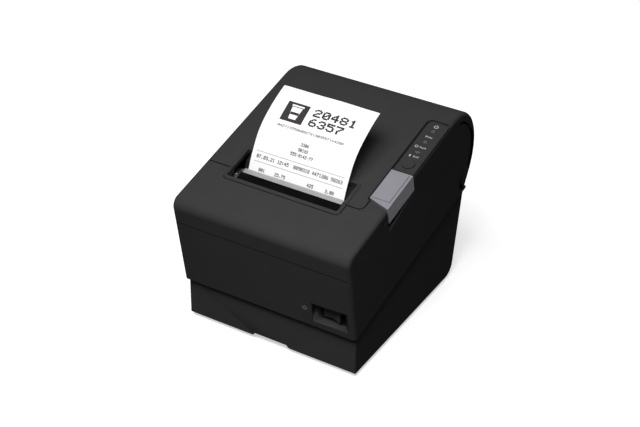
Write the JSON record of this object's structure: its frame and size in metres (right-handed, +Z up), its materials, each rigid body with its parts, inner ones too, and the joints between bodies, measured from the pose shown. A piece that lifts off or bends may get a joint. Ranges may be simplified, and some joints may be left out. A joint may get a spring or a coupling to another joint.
{
  "type": "receipt printer",
  "caption": "Desktop thermal receipt printer with a rear-hinged lid, grey opening lever, sliding front cover, blade cutter and paper roll.",
  "frame": {"origin": "on the table, under the middle of the bounding box", "axes": "+Z up, the front face looks along -Y, +X is to the right seen from the front"},
  "size_m": [0.145, 0.1951, 0.1629],
  "materials": {
    "case_plastic": "fine matte texture",
    "base_plastic": "matte",
    "inner_plastic": "matte",
    "foot_rubber": "matte",
    "lever_plastic": "satin",
    "panel_plastic": "semi-gloss",
    "lens": "clear moulded",
    "paper": "smooth coated",
    "core": "matte",
    "steel": "plated sheet",
    "blade_steel": "ground",
    "aluminium": "satin",
    "ceramic": "glazed strip",
    "flat_cable": "flexible",
    "platen_rubber": "matte",
    "bronze": "sintered",
    "gear_plastic": "moulded",
    "knob_plastic": "moulded",
    "motor_can": "drawn can",
    "board": "solder resist",
    "chip_epoxy": "moulded",
    "socket_plastic": "moulded"
  },
  "bodies": {
    "chassis": {"base_case": "base_plastic", "bottom_hatch": "base_plastic", "rubber_feet": "foot_rubber", "main_case": "case_plastic", "lever_pin": "steel", "control_panel": "panel_plastic", "status_lenses": "lens", "panel_board": "board", "power_switch": "inner_plastic", "roll_holder": "inner_plastic", "paper_web": "paper", "mech_frame": "steel", "print_head": "ceramic", "head_heatsink": "aluminium", "head_springs": "steel", "head_ribbon": "flat_cable", "feed_motor": "motor_can", "cutter_frame": "steel", "tear_bar": "blade_steel", "cutter_motor": "motor_can", "paper_sensor": "inner_plastic", "near_end_sensor": "inner_plastic", "main_board": "board", "board_chips": "chip_epoxy", "capacitors": "chip_epoxy", "interface_plate": "steel", "usb_socket": "steel", "serial_socket": "steel", "drawer_socket": "socket_plastic", "power_socket": "socket_plastic", "case_screws": "steel", "board_screws": "steel", "support_posts": "base_plastic"},
    "lid": {"lid_shell": "case_plastic", "lid_frame": "inner_plastic", "hinge_pins": "steel", "platen_bearings": "bronze", "fixed_blade": "blade_steel", "receipt": "paper"},
    "platen": {"platen_rubber": "platen_rubber", "platen_shaft": "steel", "platen_gear": "gear_plastic"},
    "idler": {"idler_gear": "gear_plastic"},
    "motor_pinion": {"feed_pinion": "bronze"},
    "roll": {"paper_roll": "paper", "roll_core": "core"},
    "lever": {"open_lever": "lever_plastic"},
    "latch": {"latch_hooks": "steel"},
    "button": {"feed_button": "panel_plastic"},
    "rocker": {"power_rocker": "panel_plastic"},
    "blade": {"cutter_blade": "blade_steel"},
    "wheel": {"cutter_gear": "knob_plastic"},
    "blade_pinion": {"cutter_pinion": "bronze"},
    "cover": {"front_cover": "case_plastic"}
  },
  "joints": [
    {"name": "lid_hinge", "type": "hinge", "parent": "chassis", "child": "lid", "pos_m": [0, 0.08, 0.086], "axis": [-1, 0, 0], "range_deg": [0, 75]},
    {"name": "platen_spin", "type": "hinge", "parent": "lid", "child": "platen", "pos_m": [0, -0.037, 0.1005], "axis": [1, 0, 0], "continuous": true},
    {"name": "idler_spin", "type": "hinge", "parent": "chassis", "child": "idler", "pos_m": [0, -0.04044, 0.07271], "axis": [1, 0, 0], "continuous": true},
    {"name": "feed_motor_spin", "type": "hinge", "parent": "chassis", "child": "motor_pinion", "pos_m": [0, -0.0643, 0.06592], "axis": [1, 0, 0], "continuous": true},
    {"name": "roll_spin", "type": "hinge", "parent": "chassis", "child": "roll", "pos_m": [0, 0.03, 0.084], "axis": [1, 0, 0], "continuous": true},
    {"name": "lever_press", "type": "hinge", "parent": "chassis", "child": "lever", "pos_m": [0, -0.01179, 0.1223], "axis": [1, 0, 0], "range_deg": [0, 6.5], "stiffness_Nm_per_rad": 1, "springref_deg": -5.73},
    {"name": "latch_release", "type": "hinge", "parent": "chassis", "child": "latch", "pos_m": [0, -0.054, 0.086], "axis": [1, 0, 0], "range_deg": [0, 13.2]},
    {"name": "feed_button_press", "type": "slide", "parent": "chassis", "child": "button", "axis": [0, 0.2297, -0.9733], "range_m": [0, 0.001], "stiffness_N_per_m": 600, "springref_m": -0.0005},
    {"name": "power_rocker_tilt", "type": "hinge", "parent": "chassis", "child": "rocker", "pos_m": [0.053, -0.0785, 0.05], "axis": [0, 0, 1], "range_deg": [0, 16]},
    {"name": "cutter_slide", "type": "slide", "parent": "chassis", "child": "blade", "axis": [0, 0.9733, 0.2297], "range_m": [0, 0.0044]},
    {"name": "cutter_wheel_turn", "type": "hinge", "parent": "chassis", "child": "wheel", "pos_m": [-0.0124, -0.07397, 0.11584], "axis": [0, -0.2297, 0.9733], "range_deg": [-27, 0]},
    {"name": "cutter_pinion_turn", "type": "hinge", "parent": "chassis", "child": "blade_pinion", "pos_m": [0.002, -0.07397, 0.11584], "axis": [0, -0.2297, 0.9733], "range_deg": [0, 54]},
    {"name": "cover_slide", "type": "slide", "parent": "chassis", "child": "cover", "axis": [0, -0.9733, -0.2297], "range_m": [0, 0.025]}
  ],
  "couplings": [
    {"joint": "idler_spin", "follows": "platen_spin", "ratio": -0.4},
    {"joint": "feed_motor_spin", "follows": "platen_spin", "ratio": 1.6667},
    {"joint": "latch_release", "follows": "lever_press", "ratio": 2},
    {"joint": "cutter_wheel_turn", "follows": "cutter_slide", "rad_per_m": -104.17},
    {"joint": "cutter_pinion_turn", "follows": "cutter_slide", "rad_per_m": 208.33}
  ]
}
